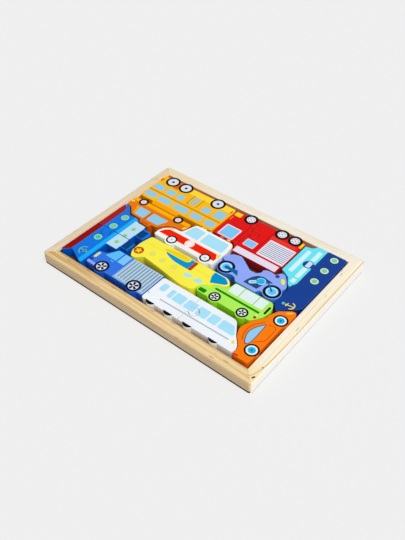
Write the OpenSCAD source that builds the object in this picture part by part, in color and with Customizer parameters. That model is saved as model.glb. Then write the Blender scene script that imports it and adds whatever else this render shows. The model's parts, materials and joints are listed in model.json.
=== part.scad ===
// Wooden tray puzzle with thick vehicle pieces that lift straight out.
// Millimetres, +Z up. The origin is the bottom centre of the tray, +X runs along the front rail.

/* [Tray] */
// Length of the tray along its front rail
tray_length = 300; // [270:1:330]
// Depth of the tray from the front rail to the back rail
tray_width = 222; // [200:1:245]
// Width of every rail seen from above
rail_width = 14; // [11:0.5:17]
// Height of the rails above the table
rail_height = 15.5; // [13:0.5:18]
// Rounding of the long outer top edges of the rails
edge_round = 1.25; // [1:0.25:3]
// Rounding of the long inner top edges of the rails
inner_round = 0.75; // [0.25:0.25:1.5]
// Rounding of the four upright corners of the tray
corner_round = 4; // [1:0.5:6]
// Height of the underside of the base panel above the table
panel_lift = 1.5; // [1:0.25:2.5]
// Thickness of the base panel
panel_thickness = 3; // [2:0.25:4]
// Depth of the groove that holds the base panel
groove_depth = 5; // [3:0.5:6]
// Play between the base panel and its groove
groove_clearance = 0.2; // [0.1:0.05:0.4]

/* [Pieces] */
// Thickness of every puzzle piece
piece_thickness = 14; // [11:0.5:17]
// Gap left between neighbouring puzzle pieces
piece_gap = 0.8; // [0.5:0.1:1.2]

/* [Jigsaw] */
// Width of the saw cut between two halves of one vehicle
kerf = 0.7; // [0.3:0.1:0.8]
// Radius of the round jigsaw knobs
knob_radius = 5.5; // [4.75:0.25:6]
// Distance from the saw cut to the centre of a knob
knob_reach = 7; // [6.5:0.25:7.5]
// Width of the neck behind each knob
neck_width = 6.5; // [5:0.25:8]

/* [Hidden] */
$fn = 48;
opening_x = tray_length - 2 * rail_width;
opening_y = tray_width - 2 * rail_width;
piece_z = panel_lift + panel_thickness;

// The layout below is drawn for an opening of 272 by 194 and stretches with the opening.
stretch_x = opening_x / 272;
stretch_y = opening_y / 194;
stretch = min(stretch_x, stretch_y);

// Outlines run anticlockwise, each point is x, y and the rounding of that corner.
// Wheels are x, y and radius of the round bulges on an outline.
bus_outline = [
    [-135.6, 90.4, 4], [-135.6, 39, 5], [-113, 39, 1], [-112, 34, 1], [-71, 34, 1], [-70, 39, 1],
    [-18, 39, 4], [-18, 90.4, 4]
];
bus_wheels = [[-118.6, 85.3, 10.4], [-96.7, 85.3, 10.4], [-44.2, 85.3, 10.4]];

taxi_outline = [
    [-135.6, 33.4, 3], [-135.6, 14.4, 2], [-127, 13.6, 3], [-117, 3.4, 4], [-100.5, 2.6, 0],
    [-98.5, -2.2, 1], [-84, -2.8, 1], [-82, 2.2, 0], [-75, 2.4, 4], [-67.4, 12.4, 5], [-59, 16.8, 6],
    [-46.5, 18, 3], [-43.4, 24, 4], [-43.4, 33.4, 3]
];
taxi_wheels = [[-119.8, 29.8, 7.1], [-62.7, 29.8, 7.1]];

ambulance_outline = [
    [-69.8, -7.4, 2.5], [19.6, -7.4, 3], [20.2, 20, 20], [18.6, 36.8, 6], [-16, 37, 0], [-17, 38.7, 0.8],
    [-31, 38.7, 0.8], [-32, 37.2, 0], [-39, 37, 4], [-45.4, 16.6, 3], [-59, 15.6, 8], [-67, 8, 6],
    [-69.8, 1, 4]
];
ambulance_wheels = [[-45, -2.4, 9.3], [5.6, -2.4, 9.3]];

plane_outline = [
    [-67, -12.2, 4], [-70.4, -30, 20], [-69.4, -45, 8], [-64, -53.6, 4], [-57.5, -52, 4], [-50.5, -45, 4],
    [-20, -48.6, 60], [10, -53, 30], [24.6, -51.4, 7], [27.4, -46.6, 3], [28, -42.4, 3], [30.4, -37.8, 6],
    [41.4, -29.6, 12], [51.8, -25.6, 5], [55.6, -19.4, 4], [48.6, -12.2, 10]
];

motorcycle_outline = [
    [27, 23.6, 6], [20.2, 14.6, 3], [20.6, 11.2, 1], [26, 8.4, 0], [28, -4, 0], [39, -7, 0], [46, -5.4, 2],
    [50.4, -6.6, 2], [55, -11.4, 2], [81.4, -11.4, 1], [84.8, -6.4, 1], [90, -7, 0], [104, -5, 0],
    [105, 8.4, 1], [104, 11, 1.5], [105.7, 13.6, 2], [105, 17.4, 6], [98.4, 27, 8], [92, 33, 4],
    [87.6, 31.4, 3], [84.4, 25.4, 2], [78, 26.8, 6], [72, 25.6, 3], [68.8, 22.4, 1],
    [69.6, 19, 2], [66.4, 14.4, 4], [58, 13.8, 6], [47, 20.8, 12], [37, 27, 8]
];
motorcycle_wheels = [[33.7, 1.2, 11], [96.2, 1, 11.4]];

minibus_outline = [
    [57.6, -12.3, 2.5], [56.4, -20.8, 4], [51.8, -25.6, 5], [41.4, -29.6, 12], [30.4, -37.8, 6],
    [28, -42.4, 3], [29.8, -48.4, 3],
    [101.5, -48.4, 4], [106.4, -42, 4], [110.8, -35, 2], [112.6, -25.4, 3], [111.2, -18.2, 3],
    [108.2, -13, 2], [105.6, -11.6, 1.5]
];
minibus_wheels = [[52.5, -43.8, 8.4], [89.2, -43.8, 8.4]];

pickup_outline = [
    [-98.4, -69.4, 3], [-98.4, -91.8, 3], [-10.4, -91.8, 2], [-10.4, -54, 1], [-79.6, -54, 3], [-88, -66.6, 4]
];
pickup_wheels = [[-76.5, -86.6, 9.6], [-27, -86.6, 9.6]];

car_outline = [
    [135.4, -8, 4.5], [129.4, -8.4, 6], [117.4, -18, 7], [113.6, -27, 5], [112.6, -33.6, 6],
    [103.6, -46.8, 14], [98.4, -61, 12], [102.8, -71.4, 10], [112.4, -82.2, 8], [114, -87.6, 4],
    [112.8, -94.4, 2.5], [133.6, -94.4, 3], [133.6, -34, 1], [135.4, -30, 1]
];
car_wheels = [[127.4, -28, 8.6], [126.8, -78.2, 8.6]];

fire_truck_outline = [
    [-17.4, 90.4, 4], [-17.4, 39.4, 5], [-5, 39.4, 0], [-4.4, 37, 0.8], [11.2, 37, 0.8], [11.8, 39.4, 0],
    [14.4, 39.4, 3], [21.2, 31.6, 4], [21.2, 27.4, 1], [81.4, 27.4, 1], [81.6, 39, 0.5],
    [83.4, 39.8, 1], [83.4, 90.4, 2]
];
fire_truck_wheels = [[6.7, 86.4, 9.4], [52, 86.6, 9.4], [70.4, 86.6, 9.4]];
fire_truck_seam = [18.6, 66];

train_outline = [
    [-10, -55.2, 3], [-10, -93.6, 3], [113, -93, 3], [114, -87.6, 4], [112.4, -82.2, 8], [102.8, -71.4, 10],
    [97, -62.6, 12], [93, -57, 5], [89.6, -55.1, 4]
];
train_wheels = [[3.2, -89.8, 7.1], [28.5, -89.8, 7.1], [54.6, -89.6, 7.1], [88.4, -89.2, 7.1]];
train_seam = [42, -74.4];

ship_outline = [
    [-135.9, 13.6, 1], [-135.9, -96, 0.8], [-126, -86.8, 3], [-104, -96.4, 3], [-99.8, -96.4, 1.5],
    [-99.8, -56, 0], [-84, -56, 0.8], [-84, -49.6, 0], [-72.6, -49.6, 0.8], [-72.6, -35.2, 0.8],
    [-84, -35.2, 0], [-84, -25, 0], [-71.4, -25, 0.8], [-69.6, -12.6, 1.2], [-72.6, -8.8, 1.2],
    [-84, -8, 0], [-84, -4.6, 0.8], [-97, -4.4, 1], [-100.4, 0.4, 1.5], [-115.4, 0.8, 4],
    [-126, 11.4, 4], [-129, 13.2, 2]
];
ship_seam = [-116, -34];

cabin_outline = [
    [84.3, 87, 1], [84.3, 37.4, 1.5], [89.8, 34.8, 2], [96.8, 30.8, 2], [102.1, 22, 3], [106.2, 18.8, 1],
    [107.8, 23.4, 2], [110.4, 28.6, 0], [110.4, 95.4, 1], [97, 95.4, 1], [94.6, 91, 2], [92, 88.6, 2]
];
hull_outline = [
    [110.4, 95.6, 1.5], [110.4, 28.6, 0], [107.8, 23.4, 2], [106.6, 19, 1], [107.6, 8, 6], [108.4, -12, 4],
    [115, -20.6, 1.5], [125.6, -9.8, 12], [131.4, -5.6, 5], [135.8, 1.6, 4], [135.8, 95.6, 3]
];
boat_knob = [110.4, 62.4];

// A layout point carried over to the opening of this tray
function place(p) = [p[0] * stretch_x, p[1] * stretch_y];

function unit(v) = v / norm(v);

// Corner b of an outline moved inwards by d from both of its edges
function moved(a, b, c, d) =
    let (
        u = unit(b - a),
        v = unit(c - b),
        m = [-u[1], u[0]],
        n = [-v[1], v[0]]
    )
    b + d * (m + n) / (1 + m * n);

// Outline moved inwards on all sides, the roundings are kept
function inset(points, d) =
    let (
        flat = [for (p = points) place(p)],
        count = len(flat)
    )
    [for (i = [0 : count - 1])
        let (q = moved(flat[(i + count - 1) % count], flat[i], flat[(i + 1) % count], d))
        [q[0], q[1], points[i][2] * stretch]
    ];

// Points of the arc that rounds corner b between a and c
function arc(a, b, c, r) =
    let (
        u = unit(a - b),
        v = unit(c - b),
        half = acos(max(-1, min(1, u * v))) / 2,
        cut = min(r / tan(half), 0.48 * min(norm(a - b), norm(c - b))),
        radius = cut * tan(half),
        centre = b + unit(u + v) * radius / sin(half),
        start = b + u * cut - centre,
        turn = cross(b - a, c - b) > 0 ? 1 : -1,
        sweep = 180 - 2 * half,
        steps = max(1, ceil(sweep / 12)),
        first = atan2(start[1], start[0])
    )
    [for (i = [0 : steps])
        let (angle = first + turn * sweep * i / steps)
        centre + radius * [cos(angle), sin(angle)]
    ];

function flat_point(p) = [p[0], p[1]];

// Outline with its corners rounded
function rounded(points) =
    let (count = len(points))
    [for (i = [0 : count - 1])
        let (
            a = flat_point(points[(i + count - 1) % count]),
            b = flat_point(points[i]),
            c = flat_point(points[(i + 1) % count]),
            corner = points[i][2] > 0 ? arc(a, b, c, points[i][2]) : [b]
        )
        for (p = corner) p
    ];

// Flat shape of a piece
module shape(outline, wheels = []) {
    polygon(rounded(inset(outline, piece_gap / 2)));
    for (w = wheels)
        translate(place(w)) circle(r = w[2] * stretch - piece_gap / 2);
}

// Gives a flat shape its thickness, standing on the base panel
module slab() {
    translate([0, 0, piece_z]) linear_extrude(piece_thickness) children();
}

// Knob pointing along +X from a saw cut at the origin, grown on all sides
module knob(grow) {
    translate([knob_reach * stretch, 0]) circle(r = knob_radius * stretch + grow);
    translate([-2, -neck_width * stretch / 2 - grow])
        square([knob_reach * stretch + 2, neck_width * stretch + 2 * grow]);
}

// Part of a flat shape behind the saw cut, with the knob
module knob_half(at, angle) {
    intersection() {
        children();
        translate(place(at)) rotate(angle) union() {
            translate([-400, -400]) square([400 - kerf / 2, 800]);
            knob(0);
        }
    }
}

// Part of a flat shape ahead of the saw cut, with the socket
module socket_half(at, angle) {
    difference() {
        children();
        translate(place(at)) rotate(angle) union() {
            translate([-400, -400]) square([400 + kerf / 2, 800]);
            knob(kerf);
        }
    }
}

// Cross-section of a rail, outer face at the origin and groove on the inner side
module rail_profile() {
    difference() {
        union() {
            square([rail_width, rail_height - edge_round]);
            translate([edge_round, 0]) square([rail_width - edge_round - inner_round, rail_height]);
            translate([edge_round, 0]) square([rail_width - edge_round, rail_height - inner_round]);
            translate([edge_round, rail_height - edge_round]) circle(r = edge_round);
            translate([rail_width - inner_round, rail_height - inner_round]) circle(r = inner_round);
        }
        translate([rail_width - groove_depth, panel_lift])
            square([groove_depth + 1, panel_thickness + groove_clearance]);
    }
}

// Rectangle of the whole tray with rounded corners
module tray_shape() {
    square([tray_length - 2 * corner_round, tray_width], center = true);
    square([tray_length, tray_width - 2 * corner_round], center = true);
    for (sx = [-1, 1], sy = [-1, 1])
        translate([sx * (tray_length / 2 - corner_round), sy * (tray_width / 2 - corner_round)])
            circle(r = corner_round);
}

// One rail on the -Y side of a tray of the given length and depth, with mitred ends
module rail(length, depth) {
    intersection() {
        translate([-length / 2, -depth / 2, 0]) rotate([90, 0, 90]) linear_extrude(length) rail_profile();
        linear_extrude(rail_height + 1) polygon([
            [-length / 2, -depth / 2], [length / 2, -depth / 2],
            [length / 2 - rail_width, -depth / 2 + rail_width],
            [-length / 2 + rail_width, -depth / 2 + rail_width]
        ]);
    }
}

module inside_tray() {
    intersection() {
        children();
        linear_extrude(rail_height + 1) tray_shape();
    }
}

module rail_front() { color([0.92, 0.79, 0.58]) inside_tray() rail(tray_length, tray_width); }
module rail_back() { color([0.93, 0.87, 0.76]) inside_tray() rotate(180) rail(tray_length, tray_width); }
module rail_left() { color([0.91, 0.85, 0.74]) inside_tray() rotate(-90) rail(tray_width, tray_length); }
module rail_right() { color([0.97, 0.90, 0.80]) inside_tray() rotate(90) rail(tray_width, tray_length); }

module base_panel() {
    side = 2 * (groove_depth - groove_clearance);
    color([0.80, 0.66, 0.46])
        translate([-(opening_x + side) / 2, -(opening_y + side) / 2, panel_lift])
            cube([opening_x + side, opening_y + side, panel_thickness]);
}

module bus() { color([1, 0.72, 0.08]) slab() shape(bus_outline, bus_wheels); }
module taxi() { color([0.94, 0.47, 0.04]) slab() shape(taxi_outline, taxi_wheels); }
module ambulance() { color([0.96, 0.96, 0.95]) slab() shape(ambulance_outline, ambulance_wheels); }
module plane() { color([1, 0.92, 0.2]) slab() shape(plane_outline); }
module motorcycle() { color([0.55, 0.63, 0.98]) slab() shape(motorcycle_outline, motorcycle_wheels); }
module minibus() { color([0.68, 0.95, 0.31]) slab() shape(minibus_outline, minibus_wheels); }
module pickup() { color([0.2, 0.43, 0.9]) slab() shape(pickup_outline, pickup_wheels); }
module car() { color([1, 0.47, 0]) slab() shape(car_outline, car_wheels); }

module fire_truck_shape() { shape(fire_truck_outline, fire_truck_wheels); }
module fire_truck_cab() {
    color([0.88, 0.08, 0.08]) slab() knob_half(fire_truck_seam, 0) fire_truck_shape();
}
module fire_truck_body() {
    color([0.84, 0.08, 0.08]) slab() socket_half(fire_truck_seam, 0) fire_truck_shape();
}

module train_shape() { shape(train_outline, train_wheels); }
module train_rear() { color([0.95, 0.95, 0.97]) slab() knob_half(train_seam, 0) train_shape(); }
module train_front() { color([0.92, 0.92, 0.95]) slab() socket_half(train_seam, 0) train_shape(); }

module ship_shape() { shape(ship_outline); }
module ship_stern() { color([0, 0.48, 0.92]) slab() knob_half(ship_seam, -90) ship_shape(); }
module ship_bow() { color([0, 0.44, 0.88]) slab() socket_half(ship_seam, -90) ship_shape(); }

module boat_cabin() {
    color([0.43, 0.9, 0.94]) slab() difference() {
        shape(cabin_outline);
        translate(place(boat_knob)) rotate(180) knob(kerf);
    }
}

module boat_hull() {
    color([0.1, 0.24, 0.59]) slab() union() {
        shape(hull_outline);
        translate(place(boat_knob)) rotate(180) knob(0);
    }
}

// Sub-part to draw, or all of them

rail_front();
rail_back();
rail_left();
rail_right();
base_panel();
bus();
taxi();
ambulance();
plane();
motorcycle();
minibus();
pickup();
car();
fire_truck_cab();
fire_truck_body();
train_rear();
train_front();
ship_stern();
ship_bow();
boat_cabin();
boat_hull();
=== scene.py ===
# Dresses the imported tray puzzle: thick painted vehicle pieces with printed windows, wheels and lamps,
# lying in a mitred tray of bare wood. Printed shapes are listed in millimetres in the part's own frame.

import json
import math

import bmesh
import bpy
from mathutils import Matrix, Vector
from mathutils.geometry import delaunay_2d_cdt


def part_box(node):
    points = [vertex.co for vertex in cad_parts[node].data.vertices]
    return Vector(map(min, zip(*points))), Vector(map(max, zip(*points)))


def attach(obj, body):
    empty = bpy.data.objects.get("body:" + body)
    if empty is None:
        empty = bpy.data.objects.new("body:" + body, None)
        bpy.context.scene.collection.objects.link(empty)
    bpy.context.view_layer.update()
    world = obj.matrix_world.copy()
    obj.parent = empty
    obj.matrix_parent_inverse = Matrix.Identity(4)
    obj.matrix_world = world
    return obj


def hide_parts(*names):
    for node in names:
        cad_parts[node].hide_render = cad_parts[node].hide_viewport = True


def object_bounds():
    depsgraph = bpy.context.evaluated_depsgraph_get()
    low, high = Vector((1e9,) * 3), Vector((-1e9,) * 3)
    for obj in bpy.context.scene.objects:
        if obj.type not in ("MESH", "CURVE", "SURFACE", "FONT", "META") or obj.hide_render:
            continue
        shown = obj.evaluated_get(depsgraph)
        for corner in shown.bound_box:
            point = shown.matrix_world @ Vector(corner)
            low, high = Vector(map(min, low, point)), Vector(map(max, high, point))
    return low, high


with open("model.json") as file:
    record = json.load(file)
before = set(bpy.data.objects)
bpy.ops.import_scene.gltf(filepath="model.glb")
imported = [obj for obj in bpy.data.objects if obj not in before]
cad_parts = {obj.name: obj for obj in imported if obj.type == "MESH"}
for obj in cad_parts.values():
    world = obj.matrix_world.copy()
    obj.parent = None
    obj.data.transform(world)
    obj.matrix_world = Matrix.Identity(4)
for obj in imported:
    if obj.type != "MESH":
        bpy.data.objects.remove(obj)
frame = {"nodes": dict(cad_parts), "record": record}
cad_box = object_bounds()

# Sizes in millimetres, and MM for one of them in metres

MM = 0.001
INK_LIFT = 0.02
INK_SINK = 0.2
PRINT_MARGIN = 0.1
TOP_ROUND = 0.5
LOW_ROUND = 0.4
RAIL_OUTER_ROUND = 1.25
RAIL_INNER_ROUND = 0.75
RAIL_FOOT_ROUND = 0.5
TRAY_CORNER_ROUND = 4.0
GROOVE_DEPTH = 5
GROOVE_CLEARANCE = 0.2
MITRE_GAP = 0.02

# Levels in the stack of inks, each one ink film thick

BAR_LEVEL = 3
WHEEL_TOP_LEVEL = 7
LEVELS = 8

# Places read from the frame, in millimetres. The inner faces of the rails take their painted shade to a
# small depth.

INNER_DEPTH = 0.4
INNER_FADE = 0.3
INNER_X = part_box("rail_right")[0].x / MM + INNER_DEPTH
INNER_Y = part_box("rail_back")[0].y / MM + INNER_DEPTH
RAIL_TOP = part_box("rail_front")[1].z / MM
PIECE_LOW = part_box("bus")[0].z / MM
PIECE_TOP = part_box("bus")[1].z / MM - LEVELS * INK_LIFT

# Fineness of curves, and limits that keep sharp corners from running far out

CORNER_STEP = math.radians(11)
SHARP_ANGLE = math.radians(35)
FLATTEST_HALF_CORNER = 1.56
LONGEST_ROUNDED_SHARE = 0.48
INSET_LIMIT = 0.3
STROKE_LIMIT = 0.5
SHORTEST_EDGE = 0.03
DISC_SIDES = 40
WHEEL_SIDES = 48
BAR_CORNER_POINTS = 5
STROKE_END_STEPS = 8
RAIL_EDGE_STEPS = 8
RAIL_CORNER_STEPS = 6
LOW_ROUND_STEPS = 3
TOP_ROUND_STEPS = 5


def new_object(data):
    """An object with the name of its mesh, camera or light."""
    piece = bpy.data.objects.new(data.name, data)
    bpy.context.scene.collection.objects.link(piece)
    return piece


# Camera and screen colours

def aim_camera():
    """The photograph's view: a long lens from the front right, well above the tray."""
    lens = bpy.data.cameras.new("photo_camera")
    lens.lens = 42.34
    lens.sensor_width = 36
    turn, elevation, roll = (math.radians(angle) for angle in (39.48, 43.8, -0.42))
    aim_height = 0.002
    shift_x, shift_y, distance = -0.00005, -0.00591, 0.74272
    camera = new_object(lens)
    camera.matrix_world = (
        Matrix.Translation((0, 0, aim_height))
        @ Matrix.Rotation(turn, 4, "Z")
        @ Matrix.Rotation(math.pi / 2 - elevation, 4, "X")
        @ Matrix.Rotation(roll, 4, "Z")
        @ Matrix.Translation((shift_x, shift_y, distance))
    )
    bpy.context.scene.camera = camera


def srgb(red, green, blue):
    """A screen colour of 0 to 255 as the linear colour that Blender takes."""
    def linear(value):
        share = value / 255
        return share / 12.92 if share <= 0.04045 else ((share + 0.055) / 1.055) ** 2.4
    return (linear(red), linear(green), linear(blue), 1.0)


# Node trees

def math_method(operation, swapped=False):
    """A method of Wire that adds a Math node. Swapped is for sums that start with a plain number."""
    def method(wire, value=0.0):
        first, second = (value, wire) if swapped else (wire, value)
        return wire.bench.add("ShaderNodeMath", {0: first, 1: second}, operation=operation)
    return method


class Wire:
    """One output of a node. Sums of wires become Math nodes."""

    __add__ = math_method("ADD")
    __radd__ = math_method("ADD", swapped=True)
    __sub__ = math_method("SUBTRACT")
    __rsub__ = math_method("SUBTRACT", swapped=True)
    __mul__ = math_method("MULTIPLY")
    __rmul__ = math_method("MULTIPLY", swapped=True)
    __truediv__ = math_method("DIVIDE")
    __abs__ = math_method("ABSOLUTE")
    __gt__ = math_method("GREATER_THAN")
    most = math_method("MAXIMUM")
    exponent = math_method("EXPONENT")

    def __init__(self, bench, socket):
        self.bench = bench
        self.socket = socket

    def __getitem__(self, name):
        """Another output of the same node."""
        return Wire(self.bench, self.socket.node.outputs[name])

    def rise(self, start, end):
        """0 up to start and 1 from end on, with a smooth step between them. End may be the lower one."""
        limits = {"From Min": start, "From Max": end, "To Min": 0.0, "To Max": 1.0}
        settings = {"interpolation_type": "SMOOTHSTEP", "clamp": True}
        return self.bench.add("ShaderNodeMapRange", {"Value": self, **limits}, **settings)


class Bench:
    """Adds nodes to one tree, for finishes and for printed shapes alike."""

    def __init__(self, tree):
        self.tree = tree

    def add(self, kind, inputs=None, output=0, **settings):
        node = self.tree.nodes.new(kind)
        for name, value in settings.items():
            setattr(node, name, value)
        for name, value in (inputs or {}).items():
            self.feed(node.inputs[name], value)
        return Wire(self, node.outputs[output]) if len(node.outputs) else node

    def feed(self, socket, value):
        if isinstance(value, list):
            for wire in value:
                self.tree.links.new(wire.socket, socket)
        elif isinstance(value, Wire):
            self.tree.links.new(value.socket, socket)
        else:
            socket.default_value = value


# Finishes

class Finish(Bench):
    """A material under construction, with patterns laid out in the part's own frame."""

    def __init__(self, name):
        self.material = bpy.data.materials.new(name)
        self.material.use_nodes = True
        super().__init__(self.material.node_tree)
        self.surface = self.tree.nodes["Principled BSDF"]
        self.place = self.add("ShaderNodeTexCoord", output="Object")

    def stretched(self, *scale):
        return self.add("ShaderNodeMapping", {"Vector": self.place, "Scale": scale})

    def grained(self, along, length_scale, cross_scale):
        """Coordinates drawn out along the X or the Y axis, as wood grain is."""
        if along == "X":
            return self.stretched(length_scale, cross_scale, cross_scale)
        return self.stretched(cross_scale, length_scale, cross_scale)

    def noise(self, vector, scale, detail=2.0, roughness=0.5):
        inputs = {"Vector": vector, "Scale": scale, "Detail": detail, "Roughness": roughness}
        return self.add("ShaderNodeTexNoise", inputs, "Fac", noise_dimensions="3D")

    def axes(self):
        split = self.add("ShaderNodeSeparateXYZ", {"Vector": self.place})
        return split, split["Y"], split["Z"]

    def blend(self, share, first, second):
        return self.add("ShaderNodeMix", {0: share, 6: first, 7: second}, 2, data_type="RGBA")

    def ramp(self, share, stops):
        """A colour ramp, its stops each a place and a colour."""
        colour = self.add("ShaderNodeValToRGB", {"Fac": share})
        elements = colour.socket.node.color_ramp.elements
        while len(elements) < len(stops):
            elements.new(0.5)
        for element, (place, shade) in zip(elements, stops):
            element.position = place
            element.color = shade
        return colour

    def set(self, **values):
        """Feeds the surface, each input named with underscores for spaces."""
        for name, value in values.items():
            self.feed(self.surface.inputs[name.replace("_", " ")], value)
        return self.material

    def dress(self, colour, roughness, height, strength, depth, shine):
        bump = self.add("ShaderNodeBump", {"Strength": strength, "Distance": depth, "Height": height})
        return self.set(Base_Color=colour, Roughness=roughness, Normal=bump, Specular_IOR_Level=shine)


def shaded(colour, share):
    """A linear colour made darker or lighter, share 1 leaves it as it is."""
    return (colour[0] * share, colour[1] * share, colour[2] * share, 1.0)


def side_shade_and_bounce(colour):
    """The same hue darkened as painted shade for the sawn sides, warmed as a painted reflection of the bare
    wood beside them.
    """
    wood_bounce = (1.0, 0.96, 0.86)
    return tuple(part ** 1.2 * warm for part, warm in zip(colour, wood_bounce)) + (1.0,)


def below_top(depth):
    """A height, in metres, at so many millimetres below the top of the pieces."""
    return (PIECE_TOP - depth) * MM


def paint_finish(name, colour, side_light_shade):
    """Satin paint on a sanded board: faint clouds, the grain showing through, edges a little rubbed.
    Wall is the colour of the sawn sides: painted light or painted shade, a lighter or darker copy of the
    paint."""
    finish = Finish(name)
    height = finish.axes()[2]
    cloud = finish.noise(finish.place, 38, 3.0)
    grain = finish.noise(finish.stretched(55, 1100, 1100), 1.0, 3.0, 0.6)
    speck = finish.noise(finish.place, 2200, 1.0)
    share = cloud.rise(0.3, 0.7) * 0.5 + grain * 0.3
    base = finish.blend(share, shaded(colour, 0.93), shaded(colour, 1.03))
    # The sides below the rounded top take the wall colour: painted light or painted shade.
    side = height.rise(below_top(0.2), below_top(0.6))
    base = finish.blend(side, base, side_light_shade)
    bevel = height.rise(below_top(TOP_ROUND), below_top(0.25))
    flat = height.rise(below_top(0.08), below_top(0.01))
    rubbed = bevel * (1 - flat) * finish.noise(finish.place, 160, 3.0).rise(0.42, 0.7)
    chalky = tuple(0.75 * part + 0.22 for part in colour[:3]) + (1.0,)
    base = finish.blend(rubbed * 0.35, base, chalky)
    roughness = 0.4 + cloud * 0.12 + rubbed * 0.15
    return finish.dress(base, roughness, grain * 0.8 + speck * 0.2, strength=0.16, depth=0.00012, shine=0.12)


def ink_finish(name, colour):
    """Screen-printed ink: an even film with a fine mottle that follows the paint below."""
    finish = Finish(name)
    mottle = finish.noise(finish.place, 900, 2.0)
    cloud = finish.noise(finish.place, 70, 2.0)
    grain = finish.noise(finish.stretched(55, 1100, 1100), 1.0, 2.0, 0.6)
    base = finish.blend(mottle * 0.5 + cloud * 0.5, shaded(colour, 0.93), shaded(colour, 1.05))
    relief = grain * 0.6 + mottle * 0.4
    return finish.dress(base, 0.45 + mottle * 0.14, relief, strength=0.12, depth=0.0001, shine=0.05)


def rail_finish(name, woods, along, lean, flecks, marks):
    """Bare planed wood: growth lines that wander along the rail, fine fibres and short dark flecks.
    Lean is how far the growth lines drift across the rail per metre of its length, flecks the share of
    cells with a fleck. The inner faces are painted shade with a painted reflection of the pieces, and dark
    blue beside the ship."""
    finish = Finish(name)
    pale, warm, dark = woods
    x, y, z = finish.axes()
    length, across = (x, y) if along == "X" else (y, x)
    wander = finish.noise(finish.grained(along, 7, 40), 1.0, 2.0)
    ring = across + z * 0.55 + length * lean + wander * 0.012
    inputs = {"W": ring * 260, "Scale": 1.0, "Detail": 2.0, "Roughness": 0.45}
    lines = finish.add("ShaderNodeTexNoise", inputs, "Fac", noise_dimensions="1D")
    fibre = finish.noise(finish.grained(along, 24, 2600), 1.0, 2.0, 0.6)
    cloud = finish.noise(finish.grained(along, 9, 26), 1.0, 2.0)
    base = finish.ramp(lines * 0.62 + cloud * 0.38, [(0.34, dark), (0.48, warm), (0.62, pale)])
    base = finish.blend(fibre.rise(0.45, 0.75) * 0.3, base, shaded(warm, 0.86))
    inputs = {"Vector": finish.grained(along, 70, 480), "Scale": 1.0}
    cells = finish.add("ShaderNodeTexVoronoi", inputs, feature="F1")
    chosen = finish.add("ShaderNodeSeparateColor", {"Color": cells["Color"]})
    fleck = cells.rise(0.34, 0.16) * (chosen > 1 - flecks)
    base = finish.blend(fleck * 0.7, base, shaded(dark, 0.32))
    base = marks(finish, base, x, y, z)
    # Painted shade, warmed by a painted reflection of the pieces, on the inner faces of the rails
    between_ends = abs(x).rise(INNER_X * MM, (INNER_X - INNER_FADE) * MM)
    between_sides = abs(y).rise(INNER_Y * MM, (INNER_Y - INNER_FADE) * MM)
    inside = between_ends * between_sides
    base = finish.blend(inside * 0.85, base, srgb(216, 150, 108))
    # Painted dark blue shade and reflection on the inner face in the corner beside the ship's bow
    ship_corner_shade = x.rise(-0.100, -0.130) * y.rise(-0.070, -0.090)
    base = finish.blend(inside * ship_corner_shade * 0.95, base, srgb(12, 40, 84))
    roughness = 0.5 + lines * 0.1 + fibre * 0.1
    relief = fibre * 0.5 + lines * 0.35 - fleck * 0.5
    return finish.dress(base, roughness, relief, strength=0.3, depth=0.0002, shine=0.15)


# Marks of the four rails, placed in metres in the part's frame

def right_rail_marks(finish, base, x, y, z):
    """A honey-coloured growth line that runs out to the outer edge, two dark pin knots near the front,
    the outer face paler as painted light, and a painted contact shadow at its foot."""
    base = finish.blend(y.rise(-0.080, -0.098) * 0.7, base, srgb(246, 222, 160))
    # Painted light that makes the outer face paler
    outer = x.rise(0.1490, 0.1499)
    base = finish.blend(outer * 0.85, base, srgb(247, 244, 239))
    # Painted contact shadow at the foot of the outer face
    base = finish.blend(outer * z.rise(0.0016, 0.0008) * 0.7, base, srgb(104, 98, 94))
    edge, swing, front, bend = 0.1490, 0.0056, -0.101, 83.0
    path = edge - swing * ((y - front) * -bend).exponent()
    streak = abs(x - path).rise(0.0011, 0.0003) * z.rise((RAIL_TOP - 2.5) * MM, (RAIL_TOP - 1) * MM)
    base = finish.blend(streak * 0.9, base, srgb(214, 188, 112))
    knot_x, knot_y, knot_slant = 0.1463, -0.1023, 0.45
    across = (x - knot_x) - (y - knot_y) * knot_slant
    along = (y - knot_y) + (x - knot_x) * knot_slant
    knot = (abs(across) * 2.2).most(abs(along)).rise(0.0025, 0.0018)
    dot_x, dot_y = 0.1467, -0.0871
    dot = abs(x - dot_x).most(abs(y - dot_y)).rise(0.0011, 0.0005)
    return finish.blend(knot.most(dot * 0.8), base, srgb(40, 30, 20))


def front_rail_marks(finish, base, x, y, z):
    """Golden heartwood streaks at the left end, a duller inner edge, painted shade on the front face and a
    painted contact shadow at the foot.
    """
    waver = finish.noise(finish.stretched(22, 1, 1), 1.0, 2.0) * 0.004
    first = abs(y + 0.1058 - waver).rise(0.0028, 0.0010) * x.rise(-0.050, -0.090)
    second = abs(y + 0.1082 - waver).rise(0.0014, 0.0006) * x.rise(-0.095, -0.120)
    base = finish.blend(first.most(second) * 0.75, base, srgb(194, 154, 90))
    inner = y.rise(-0.1005, -0.0980)
    base = finish.blend(inner * 0.45, base, srgb(186, 158, 116))
    # Painted shade on the front face
    outer = y.rise(-0.1102, -0.11095)
    base = finish.blend(outer * 0.5, base, srgb(175, 158, 138))
    # Painted contact shadow along the foot
    foot = z.rise(0.0032, 0.0024) * y.rise(-0.1065, -0.1085)
    return finish.blend(foot, base, srgb(20, 14, 10))


def left_rail_marks(finish, base, x, y, z):
    """A greyer outer edge, and yellower wood on the inside towards the back."""
    base = finish.blend(x.rise(-0.1440, -0.1490) * 0.6, base, srgb(204, 200, 176))
    inner = y.rise(0.03, 0.06) * x.rise(-0.1445, -0.1400)
    return finish.blend(inner * 0.8, base, srgb(238, 206, 140))


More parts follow.
